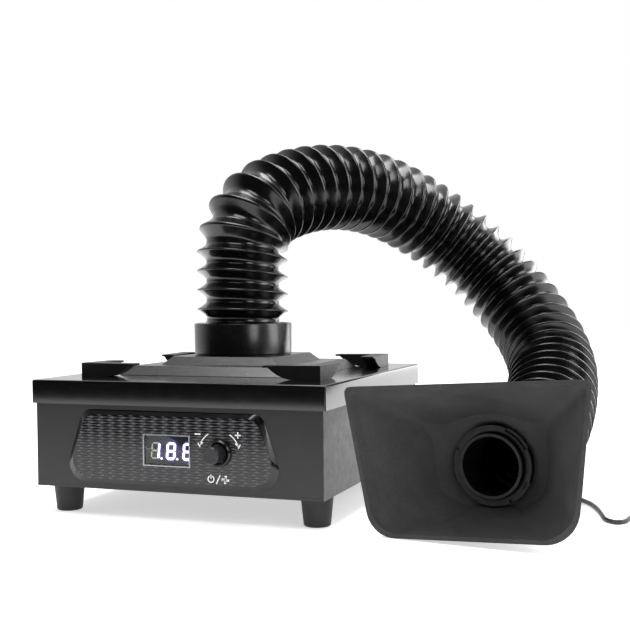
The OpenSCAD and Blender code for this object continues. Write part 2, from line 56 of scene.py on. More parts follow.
# ---------------------------------------------------------------- small helpers
def colour(hex_value, alpha=1.0):
    """An sRGB hex colour as linear light."""
    channels = [int(hex_value[i:i + 2], 16) / 255 for i in (1, 3, 5)]
    return [c / 12.92 if c <= 0.04045 else ((c + 0.055) / 1.055) ** 2.4 for c in channels] + [alpha]


def node(tree, kind, inputs=(), onto=None, socket="", **settings):
    """One shader node with its settings. An input that is a socket is linked, anything else is a value; with onto,
    the result goes on to that node's socket."""
    made_node = tree.nodes.new("ShaderNode" + kind)
    for key, value in settings.items():
        setattr(made_node, key, value)
    for key, value in dict(inputs).items():
        if isinstance(value, bpy.types.NodeSocket):
            tree.links.new(value, made_node.inputs[key])
        else:
            made_node.inputs[key].default_value = value
    if onto:
        result = [out for out in made_node.outputs if out.enabled][0]
        tree.links.new(result, onto.inputs[socket])
    return made_node


def material(name, **principled):
    """A material with its Principled shader; returns the material, its tree and the shader."""
    mat = bpy.data.materials.new(name)
    mat.use_nodes = True
    tree = mat.node_tree
    tree.nodes.clear()
    shader = node(tree, "BsdfPrincipled", {k.replace("_", " "): v for k, v in principled.items()})
    node(tree, "OutputMaterial", {"Surface": shader.outputs[0]})
    return mat, tree, shader


def surface_finish(name, **values):
    """A whole finish. A value that is a tuple drifts with a grain: (size in mm, detail, first, second), from the first
    colour or roughness to the second; for Normal the last two are the bump's strength and its depth in mm."""
    steady = {k: v for k, v in values.items() if not isinstance(v, tuple)}
    mat, tree, shader = material(name, **steady)
    spot = node(tree, "TexCoord").outputs["Object"]
    for key, (size, detail, first, second) in ((k, v) for k, v in values.items() if isinstance(v, tuple)):
        grain = node(tree, "TexNoise", {"Vector": spot, "Scale": 1000 / size, "Detail": detail,
                                        "Roughness": GRAIN_ROUGHNESS}).outputs["Fac"]
        if key == "Normal":
            drift = node(tree, "Bump", {"Height": grain, "Strength": first, "Distance": second / 1000}).outputs[0]
        elif key == "Roughness":
            drift = node(tree, "MapRange", {"Value": grain, "From Min": 0.3, "From Max": 0.7, "To Min": first,
                                            "To Max": second}).outputs[0]
        else:
            drift = node(tree, "Mix", {"Factor": grain, "A": colour(first), "B": colour(second)},
                         data_type="RGBA").outputs["Result"]
        tree.links.new(drift, shader.inputs[key.replace("_", " ")])
    return mat


def made(name, bm, mat, body, stands_for=(), place=CASE, sharp=35.0, recalc=True, flat_faces=False):
    """A finished piece from a bmesh drawn in millimetres. With flat_faces, its flats stay flat beside eased edges."""
    if recalc:
        bmesh.ops.recalc_face_normals(bm, faces=bm.faces)
    bmesh.ops.transform(bm, matrix=place, verts=bm.verts)
    mesh = bpy.data.meshes.new(name)
    bm.to_mesh(mesh)
    bm.free()
    mesh.shade_smooth()
    mesh.set_sharp_from_angle(angle=math.radians(sharp))
    mesh.materials.append(mat)
    obj = bpy.data.objects.new(name, mesh)
    scene.collection.objects.link(obj)
    if flat_faces:
        keep_flat = obj.modifiers.new("keep_flat", "WEIGHTED_NORMAL")
        keep_flat.keep_sharp = True
    if stands_for:
        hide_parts(*stands_for)
    if body:
        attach(obj, body)
    return obj


def box_bm(low, high):
    bm = bmesh.new()
    bmesh.ops.create_cube(bm, size=1)
    size = Vector(high) - Vector(low)
    bmesh.ops.scale(bm, vec=size, verts=bm.verts)
    bmesh.ops.translate(bm, vec=(Vector(high) + Vector(low)) / 2, verts=bm.verts)
    return bm


def bevel(bm, edges, width, segments=2):
    bmesh.ops.bevel(bm, geom=edges, offset=width, offset_type="OFFSET", segments=segments, profile=0.5,
                    affect="EDGES", clamp_overlap=True, material=-1)


def sharp_edges(bm, angle=30.0):
    bm.normal_update()
    return [e for e in bm.edges if len(e.link_faces) == 2 and e.calc_face_angle(0) > math.radians(angle)]


def spun(profile, steps=64, axis=(0, 0, 1), arc=2 * math.pi):
    """A closed outline of (radius, height) points turned about the z axis."""
    bm = bmesh.new()
    ring = [bm.verts.new((r, 0, z)) for r, z in profile]
    edges = [bm.edges.new((ring[i], ring[(i + 1) % len(ring)])) for i in range(len(ring))]
    bmesh.ops.spin(bm, geom=ring + edges, cent=(0, 0, 0), axis=axis, dvec=(0, 0, 0), angle=arc, steps=steps,
                   use_merge=True, use_duplicate=False)
    bmesh.ops.remove_doubles(bm, verts=bm.verts, dist=0.0005)
    return bm


def softened(node_name, width, segments=2, angle=30.0):
    """A merged copy of a CAD node, in its own metres, with its sharp edges eased by width millimetres."""
    bm = bmesh.new()
    bm.from_mesh(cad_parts[node_name].data)
    bmesh.ops.remove_doubles(bm, verts=bm.verts, dist=2e-6)
    bmesh.ops.dissolve_limit(bm, angle_limit=math.radians(1.0), verts=bm.verts, edges=bm.edges)
    bevel(bm, sharp_edges(bm, angle), width / 1000, segments)
    return bm


def joined(*parts):
    """One bmesh from several."""
    whole = bmesh.new()
    for part in parts:
        mesh = bpy.data.meshes.new("part")
        part.to_mesh(mesh)
        part.free()
        whole.from_mesh(mesh)
        bpy.data.meshes.remove(mesh)
    return whole


def moved(bm, matrix):
    bmesh.ops.transform(bm, matrix=matrix, verts=bm.verts)
    return bm


IDENTITY = Matrix.Identity(4)
FACE_FRONT = Matrix.Rotation(math.pi / 2, 4, "X")  # turns a plan drawn in x, y to stand in x, z, facing -y

# ---------------------------------------------------------------- camera
right = Vector((0.93985, 0.34149, -0.00865)).normalized()
forward = Vector((-0.34158, 0.93920, -0.03494)).normalized()
up = right.cross(forward).normalized()
camera_data = bpy.data.cameras.new("camera")
camera_data.sensor_width = 36
camera_data.lens = 61.16
camera_data.shift_x = 0.0032
camera_data.shift_y = 0.0357
camera_data.clip_start = 0.02
camera = bpy.data.objects.new("camera", camera_data)
turn = Matrix((right, up, -forward)).transposed().to_4x4()
camera.matrix_world = Matrix.Translation((0.27513, -0.87235, 0.16332)) @ turn
scene.collection.objects.link(camera)
scene.camera = camera
scene.view_settings.view_transform = "Standard"

# ---------------------------------------------------------------- finishes
# Gloss black powder coat on steel sheet: mirrors its surroundings, with a faint orange-peel ripple
gloss_powder_coat = surface_finish("gloss_black_powder_coat", Base_Color=colour("#050506"), IOR=1.6,
                                   Roughness=(9, 4, 0.12, 0.15), Normal=(1.6, 1, 0.03, 0.2))
# Satin dark grey sprayed paint on steel sheet: a soft sheen and a fine sprayed grain
satin_paint = surface_finish("satin_grey_paint", IOR=1.5, Base_Color=(14, 5, "#17171a", "#202022"),
                             Roughness=(5, 4, 0.36, 0.48), Normal=(0.7, 2, 0.1, 0.15))
# Satin black sprayed paint on the pressed adapter: broad soft reflections, nearly no grain
satin_black_paint = surface_finish("satin_black_paint", Base_Color=colour("#1d1d1f"), IOR=1.5,
                                   Roughness=(6, 4, 0.26, 0.34), Normal=(0.9, 2, 0.03, 0.15))
# Moulded ABS with a spark-eroded texture: dull black with a fine pebble
moulded_abs = surface_finish("textured_black_abs", IOR=1.53, Base_Color=(8, 4, "#0c0c0d", "#141416"),
                             Roughness=(3, 3, 0.4, 0.52), Normal=(0.5, 2, 0.25, 0.12))
# Moulded ABS with a satin skin, for the collar: a dark middle between two soft bright streaks
satin_abs = surface_finish("satin_black_abs", Base_Color=colour("#0a0a0b"), IOR=1.53,
                           Roughness=(7, 4, 0.2, 0.28), Normal=(0.8, 2, 0.1, 0.12))
# Blow-moulded polypropylene: glossy black, with faint drag lines and a little dust in the folds
duct_plastic = surface_finish("glossy_black_polypropylene", IOR=1.49, Base_Color=(20, 5, "#060607", "#0c0c0d"),
                              Roughness=(12, 5, 0.13, 0.27), Normal=(4, 3, 0.12, 0.25))
# The feet's moulded rubber: nearly black and matt
foot_rubber = surface_finish("matt_black_rubber", Roughness=0.6, IOR=1.52, Base_Color=(5, 4, "#101011", "#1c1c1d"),
                             Normal=(0.9, 3, 0.3, 0.2))
# Injection-moulded nylon of the throat, the fan and the plugs: deep black with a weak sheen
throat_nylon = surface_finish("satin_black_nylon", Base_Color=colour("#050506"), IOR=1.45,
                              Roughness=(4, 3, 0.42, 0.58), Normal=(0.7, 2, 0.15, 0.12))
# Extruded soft PVC of the flex: smooth, with a dull sheen along its length
flex_pvc = surface_finish("black_pvc_flex", Base_Color=colour("#0c0c0d"), IOR=1.53,
                          Roughness=(3, 3, 0.36, 0.5), Normal=(1.2, 2, 0.15, 0.1))

# Pressed rubber: matt dark grey, cloudy with talc and mould bloom
pressed_rubber, tree, shader = material("matt_grey_rubber", IOR=1.52)
spot = node(tree, "TexCoord").outputs["Object"]
cloud = node(tree, "TexNoise", {"Vector": spot, "Scale": 1000 / 28, "Detail": 6, "Roughness": 0.65}).outputs["Fac"]
grain = node(tree, "TexNoise", {"Vector": spot, "Scale": 1000 / 1.4, "Detail": 4, "Roughness": 0.7}).outputs["Fac"]
bloom = node(tree, "Mix", {"Factor": 0.35, "A": cloud, "B": grain}, data_type="FLOAT").outputs["Result"]
spread = node(tree, "MapRange", {"Value": bloom, "From Min": 0.36, "From Max": 0.64}).outputs[0]
node(tree, "Mix", {"Factor": spread, "A": colour("#262627"), "B": colour("#3e3e3f")}, shader, "Base Color",
     data_type="RGBA")
node(tree, "MapRange", {"Value": cloud, "From Min": 0.3, "From Max": 0.7, "To Min": 0.74, "To Max": 0.9}, shader,
     "Roughness")
node(tree, "Bump", {"Height": grain, "Strength": 0.3, "Distance": 0.25 / 1000}, shader, "Normal")


def bare_metal(name, hex_value, roughness, grain):
    """A whole metal finish with a fine random tooling grain of so many millimetres."""
    return surface_finish(name, Base_Color=colour(hex_value), Metallic=1.0,
                          Roughness=(grain, 4, roughness * 0.75, roughness * 1.3), Normal=(grain / 3, 3, 0.08, 0.08))


# Zinc plate on screws and nuts: pale, slightly blue and softly bright
zinc_steel = bare_metal("zinc_plated_steel", "#b9bcc0", 0.32, 1.2)
# Drawn steel wire of the guard: bright lines along the wires
bright_wire = bare_metal("bright_drawn_steel", "#c6c8ca", 0.22, 1.5)
# Ground and polished bearing races: the brightest metal here
bearing_steel = bare_metal("polished_bearing_steel", "#d2d4d6", 0.12, 1.0)
# Enamelled copper of the motor's windings: warm brown-red
copper_winding = bare_metal("enamelled_copper", "#b3622f", 0.3, 0.8)
# Turned brass of the spacers: yellow, with fine turning marks
turned_brass = bare_metal("turned_brass", "#c9a556", 0.28, 0.9)
# Nickel plate on the adapter's pins: warm silver
nickel_pin = bare_metal("nickel_plated_brass", "#cfc8b4", 0.22, 1.2)
# Die-cast zinc of the encoder: grey and dull
cast_zinc = bare_metal("die_cast_zinc", "#9c9ea1", 0.4, 1.0)
# Satin dark chrome of the display's frame: a thin grey edge with a soft glint
satin_chrome = bare_metal("satin_dark_chrome", "#8e9093", 0.24, 2.0)


def grained(name, low, high, roughness, grain, bump=0.3, depth=0.2):
    """A whole finish for a moulded, woven or foamed material in two tones, with its sizes in millimetres."""
    return surface_finish(name, Base_Color=(grain, 4, low, high), Normal=(grain, 4, bump, depth),
                          Roughness=(grain, 4, roughness * 0.9, min(1.0, roughness * 1.1)))


# Moulded grey ABS of the tray: plain and slightly pebbled
tray_abs = grained("grey_moulded_abs", "#3c3e41", "#46484b", 0.5, 0.8)
# Foam loaded with carbon: deep black open cells
foam_black = grained("activated_carbon_foam", "#0a0a0a", "#222222", 0.95, 1.6, 0.9, 0.8)
# Open-cell sponge: mid grey and coarse
foam_grey = grained("open_cell_grey_foam", "#3b4043", "#5f666a", 0.95, 1.2, 0.9, 0.6)
# Closed-cell foam of the gaskets: black with a fine skin
gasket_foam = grained("closed_cell_foam", "#0d0d0d", "#1b1b1b", 0.9, 1.0, 0.6, 0.3)
# White moulded acetal: slightly waxy
rotor_acetal = grained("white_acetal", "#cfcfc8", "#dcdcd6", 0.4, 1.0, 0.1)
# Solder mask on the board: glossy green
board_mask = grained("green_solder_mask", "#0e4a2a", "#145634", 0.25, 1.5, 0.1)
# Extruded PVC on the leads: plain red
wire_pvc = grained("red_pvc_insulation", "#8e1c1c", "#a52828", 0.4, 1.5, 0.1)
# Spark-eroded ABS of the plug-in adapter: dull black pebble
brick_abs = grained("textured_adapter_abs", "#121213", "#1c1c1e", 0.48, 0.6, 0.4, 0.15)

# Pleated filter paper: cream white, with a shadow down each fold every 3 mm
pleated_paper, tree, shader = material("pleated_filter_paper", Roughness=0.9)
spot = node(tree, "TexCoord").outputs["Object"]
pleats = node(tree, "TexWave", {"Vector": spot, "Scale": 1000 / 3 / 20, "Distortion": 0.6}, wave_type="BANDS",
              bands_direction="X").outputs["Fac"]
node(tree, "Mix", {"Factor": pleats, "A": colour("#b8b7af"), "B": colour("#efeee8")}, shader, "Base Color",
     data_type="RGBA")
node(tree, "Bump", {"Height": pleats, "Strength": 0.8, "Distance": 1.2 / 1000}, shader, "Normal")

# ---------------------------------------------------------------- cord
CORD = 3.6
floor_route = [(80, 288.4, 40), (80, 300, 37), (83, 310, 27), (90, 317, 13), (102, 321, 4), (120, 321, 1.9),
               (145, 314, 1.9), (175, 296, 1.9), (205, 270, 1.9), (232, 238, 1.9), (255, 205, 1.9), (272, 178, 1.9),
               (284, 158, 1.9), (291, 138, 1.9), (296, 118, 1.9), (299, 104, 1.9), (303, 96, 1.9), (309, 93, 1.9),
               (314, 98, 1.9), (316, 108, 1.9), (319, 122, 1.9), (322, 138, 1.9), (324.6, 152, 1.9), (325.8, 166, 1.9)]
COIL = (351, 172)
TURN_OUT, TURN_STEP = 25.2, 3.7


def smooth_route(points, per_span=5):
    """A Catmull-Rom line through the points."""
    pts = [Vector(p) for p in points]
    line = []
    for i in range(len(pts) - 1):
        a, b, c, d = pts[max(i - 1, 0)], pts[i], pts[i + 1], pts[min(i + 2, len(pts) - 1)]
        for k in range(per_span):
            t = k / per_span
            line.append(0.5 * ((2 * b) + (c - a) * t + (2 * a - 5 * b + 4 * c - d) * t * t
                               + (3 * b - a - 3 * c + d) * t ** 3))
    line.append(pts[-1])
    return line


def coil_turns():
    """Eight turns, clockwise from the left: three inwards on the bench, three outwards on them, two on top."""
    line = []
    for k in range(1, 8 * 24 + 1):
        turns = k / 24
        layer = min(int(turns / 3), 2)
        along = turns - 3 * layer
        radius = {0: TURN_OUT - TURN_STEP * along * 2 / 3, 1: TURN_OUT - TURN_STEP * (3 - along) * 2 / 3,
                  2: TURN_OUT - TURN_STEP * along / 2}[layer]
        rise = min(max((turns - 2.75) / 0.25, 0), 1) + min(max((turns - 5.75) / 0.25, 0), 1)
        angle = math.pi - 2 * math.pi * turns
        line.append(Vector((COIL[0] + radius * math.cos(angle), COIL[1] + radius * math.sin(angle),
                            1.9 + 3.65 * rise)))
    return line


to_brick = [(330, 178, 10), (330.6, 184, 13.2), (331.5, 192, 13.8), (332, 199, 14), (332, 206, 14)]
cord_line = smooth_route(floor_route)[:-1] + [Vector(floor_route[-1])] + coil_turns() + [Vector(p) for p in to_brick]


def swept_tube(line, radius, sides=10):
    """A round tube bridged from ring to ring along a line."""
    bm = bmesh.new()
    before = None
    for i, p in enumerate(line):
        run = (line[min(i + 1, len(line) - 1)] - line[max(i - 1, 0)]).normalized()
        across = run.cross(Vector((0, 0, 1))).normalized()
        above = across.cross(run)
        ring = bmesh.ops.create_circle(bm, segments=sides, radius=radius, cap_ends=i in (0, len(line) - 1))["verts"]
        bmesh.ops.transform(bm, verts=ring, matrix=Matrix.Translation(p) @ Matrix(
            (across, above, run)).transposed().to_4x4())
        edges = [e for e in bm.edges if e.verts[0] in ring and e.verts[1] in ring] if i == 0 else \
            list({e for v in ring for e in v.link_edges if e.other_vert(v) in ring})
        if before:
            bmesh.ops.bridge_loops(bm, edges=before + edges)
        before = edges
    return bm


cord = made("power_flex", swept_tube(cord_line, CORD / 2), flex_pvc, None, ("power_cord", "cord_coil"))
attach(cord, "case")

# ---------------------------------------------------------------- duct: a pleated tube bent to its route
RISE, LEAN, LEAN_TURN = 208.0, 9.0, 62.0
BENDS = [(52, 56, 1), (190, 23, -14), (190, 23, 0), (130, 60, -34), (130, 60, 0), (470, 13, 14), (240, 17, -46)]
CREST, VALLEY, PITCH, FIRST_CREST = 38.3, 30.6, 15.2, 8.0


def bent(radius, degrees):
    a = math.radians(degrees)
    return Matrix.Translation((radius * (1 - math.cos(a)), 0, radius * math.sin(a))) @ Matrix.Rotation(a, 4, "Y")


def turned(degrees):
    return Matrix.Rotation(math.radians(degrees), 4, "Z")


def duct_frames():
    """(distance where a bend starts, the frame there, radius, angle, turn of its plane); the frames do not twist."""
    at = Matrix.Translation((0, 133, RISE)) @ turned(LEAN_TURN) @ Matrix.Rotation(math.radians(LEAN), 4, "Y")
    plane, start, rows = 0.0, 0.0, []
    for radius, angle, roll in BENDS:
        plane += roll
        rows.append((start, at.copy(), radius, angle, plane))
        at = at @ turned(plane) @ bent(radius, angle) @ turned(-plane)
        start += radius * math.radians(angle)
    return rows, at, start


DUCT_ROWS, DUCT_END, DUCT_LENGTH = duct_frames()


def duct_at(s):
    """The frame at distance s past the riser's top; below 0 the duct goes straight down the riser."""
    if s >= DUCT_LENGTH:
        return DUCT_END @ Matrix.Translation((0, 0, s - DUCT_LENGTH))
    if s < 0:
        lean = max(0.0, 1 + s / 70) * LEAN
        upright = Matrix.Translation((0, 133, RISE + s))
        return upright @ turned(LEAN_TURN) @ Matrix.Rotation(math.radians(lean), 4, "Y")
    start, at, radius, angle, plane = [row for row in DUCT_ROWS if row[0] <= s][-1]
    return at @ turned(plane) @ bent(radius, math.degrees((s - start) / radius)) @ turned(-plane)


def pleat(offset):
    """Radius of the duct's wall at a distance from the nearest crest: a sharp ridge and a rounded valley."""
    d = abs(offset) / (PITCH / 2)
    if d < 0.06:
        return CREST
    return VALLEY + (CREST - VALLEY) * (1 - min(1, (d - 0.06) / 0.74)) ** 1.35


PLEAT_STEPS = (-0.5, -0.4, -0.31, -0.22, -0.13, -0.07, -0.03, 0.03, 0.07, 0.13, 0.22, 0.31, 0.4)


def duct_piece(name, s0, s1, sides=72):
    """One length of duct from s0 to s1: a tube of rings, pleated, given its wall and bent to the route."""
    stations = [s for k in range(-8, 60) for s in [FIRST_CREST + PITCH * (k + f) for f in PLEAT_STEPS] if s0 < s < s1]
    stations = [s0] + stations + [s1]
    bm = bmesh.new()
    profile = [bm.verts.new((pleat((s - FIRST_CREST + PITCH / 2) % PITCH - PITCH / 2), 0, s)) for s in stations]
    edges = [bm.edges.new(pair) for pair in zip(profile, profile[1:])]
    bmesh.ops.spin(bm, geom=profile + edges, cent=(0, 0, 0), axis=(0, 0, 1), dvec=(0, 0, 0), angle=2 * math.pi,
                   steps=sides, use_merge=True, use_duplicate=False)
    bmesh.ops.recalc_face_normals(bm, faces=bm.faces)
    inner = bmesh.ops.duplicate(bm, geom=bm.verts[:] + bm.edges[:] + bm.faces[:])["geom"]
    inner_verts = [g for g in inner if isinstance(g, bmesh.types.BMVert)]
    bmesh.ops.reverse_faces(bm, faces=[g for g in inner if isinstance(g, bmesh.types.BMFace)])
    for v in inner_verts:
        r = math.hypot(v.co.x, v.co.y)
        v.co.x *= (r - 1) / r
        v.co.y *= (r - 1) / r
    ends = [e for e in bm.edges if e.is_boundary]
    for s in (s0, s1):
        bmesh.ops.bridge_loops(bm, edges=[e for e in ends if e.is_valid and abs(e.verts[0].co.z - s) < 1e-4])
    for v in bm.verts:
        place = duct_at(v.co.z)
        v.co = place @ Vector((v.co.x, v.co.y, 0))
    return bm


# Where each joint lies along the duct, and the lengths of duct between the middles of its stiff parts
BEND_JOINTS = [(sum(radius * math.radians(angle) for radius, angle, _ in BENDS[:done]), low, high, name)
               for done, low, high, name in ((0, "hose_base", "hose_2", "hose_bend_1"),
                                             (2, "hose_2", "hose_3", "hose_bend_2"),
                                             (4, "hose_3", "hose_4", "hose_bend_3"),
                                             (5, "hose_4", "hose_5", "hose_bend_4"))]
DUCT_START, DUCT_STOP = -77.0, DUCT_LENGTH + 1.5
middles = [(BEND_JOINTS[i][0] + BEND_JOINTS[i + 1][0]) / 2 for i in range(3)]
cuts = [DUCT_START] + middles + [DUCT_STOP]
stands = [("hose_section_1", "hose_section_2"), ("hose_section_3",), ("hose_section_4",), ("hose_section_5",)]
for i, (s, low, high, joint) in enumerate(BEND_JOINTS):
    duct = made(f"duct_length_{i + 1}", duct_piece("duct", cuts[i], cuts[i + 1]), duct_plastic, None,
                stands[i], sharp=80, recalc=False)
    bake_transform(duct)

# ---------------------------------------------------------------- hood
HOOD = CASE @ DUCT_END @ turned(sum(b[2] for b in BENDS)) @ turned(-98.5) @ Matrix.Translation((0, 0, 28))
MOUTH_TOP, MOUTH_BOTTOM, MOUTH_HIGH, THROAT_LOW, HOOD_DEPTH = 175.0, 144.0, 104.5, 43.6, 56.0
FUNNEL_IN, WALL = 29.5, 3.0


def soft_max(values, ease):
    """The largest of some heights, with the creases between them eased."""
    top = max(values)
    return top + ease * math.log(sum(math.exp((v - top) / ease) for v in values))


def mouth_outline(inset, count=192):
    """Rounded four-cornered outline of the mouth, as a bmesh face bevelled at its corners, sampled by angle."""
    bm = bmesh.new()
    half_top, half_low = MOUTH_TOP / 2 - inset, MOUTH_BOTTOM / 2 - inset
    low, high = -THROAT_LOW + inset, MOUTH_HIGH - THROAT_LOW - inset
    corners = [(-half_low, low), (half_low, low), (half_top, high), (-half_top, high)]
    face = bm.faces.new([bm.verts.new((x, z, 0)) for x, z in corners])
    bm.verts.ensure_lookup_table()
    for index, radius in ((0, 17), (1, 21), (2, 7), (3, 5)):
        vert = min(bm.verts, key=lambda v: (v.co.xy - Vector(corners[index])).length)
        bmesh.ops.bevel(bm, geom=[vert], offset=radius, offset_type="OFFSET", segments=8, profile=0.5,
                        affect="VERTICES", clamp_overlap=True, material=-1)
    ring = [v.co.xy.copy() for v in bm.faces[:][0].verts]
    bm.free()

    def reach(angle):
        d = Vector((math.cos(angle), math.sin(angle)))
        for a, b in zip(ring, ring[1:] + ring[:1]):
            cross = d.x * (b - a).y - d.y * (b - a).x
            if abs(cross) > 1e-9:
                t = (a.x * (b - a).y - a.y * (b - a).x) / cross
                u = (a.x * d.y - a.y * d.x) / cross
                if t > 0 and -1e-6 <= u <= 1 + 1e-6:
                    return t
        return ring[0].length
    return [reach(2 * math.pi * k / count) for k in range(count)]


def funnel_depth(x, y, inset):
    """Height of the funnel's inner face over the throat: a cone whose sides are cut by four flat walls."""
    half = (MOUTH_BOTTOM + (MOUTH_TOP - MOUTH_BOTTOM) * (y + THROAT_LOW) / MOUTH_HIGH) / 2 - inset
    walls = [HOOD_DEPTH - (half + x) * 1.42, HOOD_DEPTH - (half - x) * 1.42,
             HOOD_DEPTH - (MOUTH_HIGH - THROAT_LOW - inset - y) * 2.5, HOOD_DEPTH - (y + THROAT_LOW - inset) * 4.6]
    cone = max(0.0, math.hypot(x, y) - FUNNEL_IN) * 0.72
    return min(HOOD_DEPTH, max(0.0, soft_max(walls + [cone], 1.4)))


def hood_skin():
    """A disc spun from a radial line, stretched to the mouth's outline and pushed to the funnel's depth."""
    sides, steps = 192, 40
    reach = mouth_outline(0)
    bm = bmesh.new()
    line = [bm.verts.new((1 + k, 0, 0)) for k in range(steps + 1)]
    edges = [bm.edges.new(pair) for pair in zip(line, line[1:])]
    bmesh.ops.spin(bm, geom=line + edges, cent=(0, 0, 0), axis=(0, 0, 1), dvec=(0, 0, 0), angle=2 * math.pi,
                   steps=sides, use_merge=True, use_duplicate=False)
    inner = mouth_outline(WALL)
    for v in bm.verts:
        k = round(math.hypot(v.co.x, v.co.y)) - 1
        angle = math.atan2(v.co.y, v.co.x) % (2 * math.pi)
        spoke = round(angle / (2 * math.pi) * sides) % sides
        r = FUNNEL_IN + (inner[spoke] - FUNNEL_IN) * k / steps
        x, y = r * math.cos(angle), r * math.sin(angle)
        depth = HOOD_DEPTH if k == steps else funnel_depth(x, y, WALL)
        v.co = (x, y, depth)
    bmesh.ops.recalc_face_normals(bm, faces=bm.faces)
    if sum(f.normal.z for f in bm.faces) < 0:
        bmesh.ops.reverse_faces(bm, faces=bm.faces)
    rim = sorted((v for v in bm.verts if abs(v.co.z - HOOD_DEPTH) < 1e-6 and v.is_boundary),
                 key=lambda v: math.atan2(v.co.y, v.co.x) % (2 * math.pi))
    edges = [e for e in bm.edges if e.is_boundary and e.verts[0] in rim and e.verts[1] in rim]
    lip = bmesh.ops.extrude_edge_only(bm, edges=edges)["geom"]
    for v in (g for g in lip if isinstance(g, bmesh.types.BMVert)):
        angle = math.atan2(v.co.y, v.co.x) % (2 * math.pi)
        spoke = round(angle / (2 * math.pi) * sides) % sides
        v.co = (reach[spoke] * math.cos(angle), reach[spoke] * math.sin(angle), HOOD_DEPTH)
    outer = [g for g in lip if isinstance(g, bmesh.types.BMEdge)
             and all(v in lip for v in g.verts)]
    for k in range(1, 13):
        drop = k / 12
        more = bmesh.ops.extrude_edge_only(bm, edges=outer)["geom"]
        for v in (g for g in more if isinstance(g, bmesh.types.BMVert)):
            angle = math.atan2(v.co.y, v.co.x) % (2 * math.pi)
            spoke = round(angle / (2 * math.pi) * sides) % sides
            r = reach[spoke] + (FUNNEL_IN + 4 - reach[spoke]) * drop ** 0.9
            v.co = (r * math.cos(angle), r * math.sin(angle), HOOD_DEPTH - (HOOD_DEPTH + WALL) * drop ** 1.1)
        outer = [g for g in more if isinstance(g, bmesh.types.BMEdge) and all(v in more for v in g.verts)]
    for r, z in ((30.2, -4), (29.8, -24.6), (23.6, -24.6), (23.6, -1.5), (29.5, 0.0)):
        more = bmesh.ops.extrude_edge_only(bm, edges=outer)["geom"]
        for v in (g for g in more if isinstance(g, bmesh.types.BMVert)):
            angle = math.atan2(v.co.y, v.co.x)
            v.co = (r * math.cos(angle), r * math.sin(angle), z)
        outer = [g for g in more if isinstance(g, bmesh.types.BMEdge) and all(v in more for v in g.verts)]
    bmesh.ops.remove_doubles(bm, verts=bm.verts, dist=0.01)
    return bm


hood = made("hood_funnel", hood_skin(), pressed_rubber, "hood", ("hood",), place=HOOD, sharp=50)

# Connector with its flange, and the ring that locks the hood to it
connector = joined(spun([(20.5, -28), (20.5, 9), (20.9, 9.4), (22.8, 9.4), (23.2, 9), (23.2, -24.9), (38.3, -25.1),
                         (38.3, -27.6), (37.9, -28)], 96))
made("throat_connector", connector, throat_nylon, "hose_5", ("hose_connector",), place=HOOD)
ring_parts = [spun([(23.6, 0.5), (23.6, 5.2), (24, 5.4), (26.2, 5.4), (26.2, 3.4), (28.8, 3.4), (28.8, 0.5)], 96)]
for middle in (0, 90, 180, 270):
    part = bmesh.new()
    corners = [part.verts.new((r, 0, z)) for r, z in ((26.1, 3.3), (28.8, 3.3), (28.8, 5.0), (28.4, 5.4), (26.1, 5.4))]
    face = part.faces.new(corners)
    bmesh.ops.rotate(part, verts=part.verts, cent=(0, 0, 0), matrix=Matrix.Rotation(math.radians(middle - 24), 3, "Z"))
    swept = bmesh.ops.spin(part, geom=[face], cent=(0, 0, 0), axis=(0, 0, 1), dvec=(0, 0, 0), angle=math.radians(48),
                           steps=16, use_merge=False, use_duplicate=False)
    ring_parts.append(part)
made("locking_ring", joined(*ring_parts), throat_nylon, "lock_ring", ("lock_ring",), place=HOOD)

# ---------------------------------------------------------------- case
LID_W, LID_D, LID_TOP, SKIRT = 120.0, 260.0, 104.0, 18.0


def cover_bm():
    """The folded cover: a box open below, with rolled edges and the opening over the filters."""
    bm = box_bm((-LID_W, 0, LID_TOP - SKIRT), (LID_W, LID_D, LID_TOP))
    bmesh.ops.delete(bm, geom=[f for f in bm.faces if f.normal.z < -0.5], context="FACES")
    bm.normal_update()
    folds = [e for e in bm.edges if not e.is_boundary]
    bevel(bm, folds, 1.5, 4)
    for axis, value in (((1, 0, 0), -66.1), ((1, 0, 0), 66.1), ((0, 1, 0), 66.9), ((0, 1, 0), 199.1)):
        co = Vector(axis) * value
        bmesh.ops.bisect_plane(bm, geom=bm.verts[:] + bm.edges[:] + bm.faces[:], plane_co=co, plane_no=axis)
    opening = [f for f in bm.faces if f.calc_center_median().z > LID_TOP - 0.01
               and abs(f.calc_center_median().x) < 66 and 67 < f.calc_center_median().y < 199]
    bmesh.ops.delete(bm, geom=opening, context="FACES")
    return bm


cover = made("folded_cover", cover_bm(), gloss_powder_coat, "case", ("top_cover",), recalc=False)
wall = cover.modifiers.new("sheet", "SOLIDIFY")
wall.thickness, wall.offset = 0.0012, -1.0
cover.modifiers.new("keep_flat", "WEIGHTED_NORMAL").keep_sharp = True

feet = []
for x in (-104, 104):
    for y in (26, 234):
        foot = spun([(4.5, 0.5), (5, 0), (9, 0), (10, 1), (12.1, 21.4), (11.5, 22), (2.1, 22), (2.1, 16), (4.5, 16)],
                    48)
        feet.append(moved(foot, Matrix.Translation((x, y, 0))))
made("rubber_feet", joined(*feet), foot_rubber, "case", ("feet",))

made("duct_collar", moved(spun([(37, 119), (40.4, 119), (41, 119.6), (41, 143.6), (40.6, 144.4), (39.8, 144.6),
                                (38.9, 144.2), (38.6, 143.4), (38.6, 122), (37, 122)], 128),
                          Matrix.Translation((0, 133, 0))), satin_abs, "adapter", ("hose_collar",))

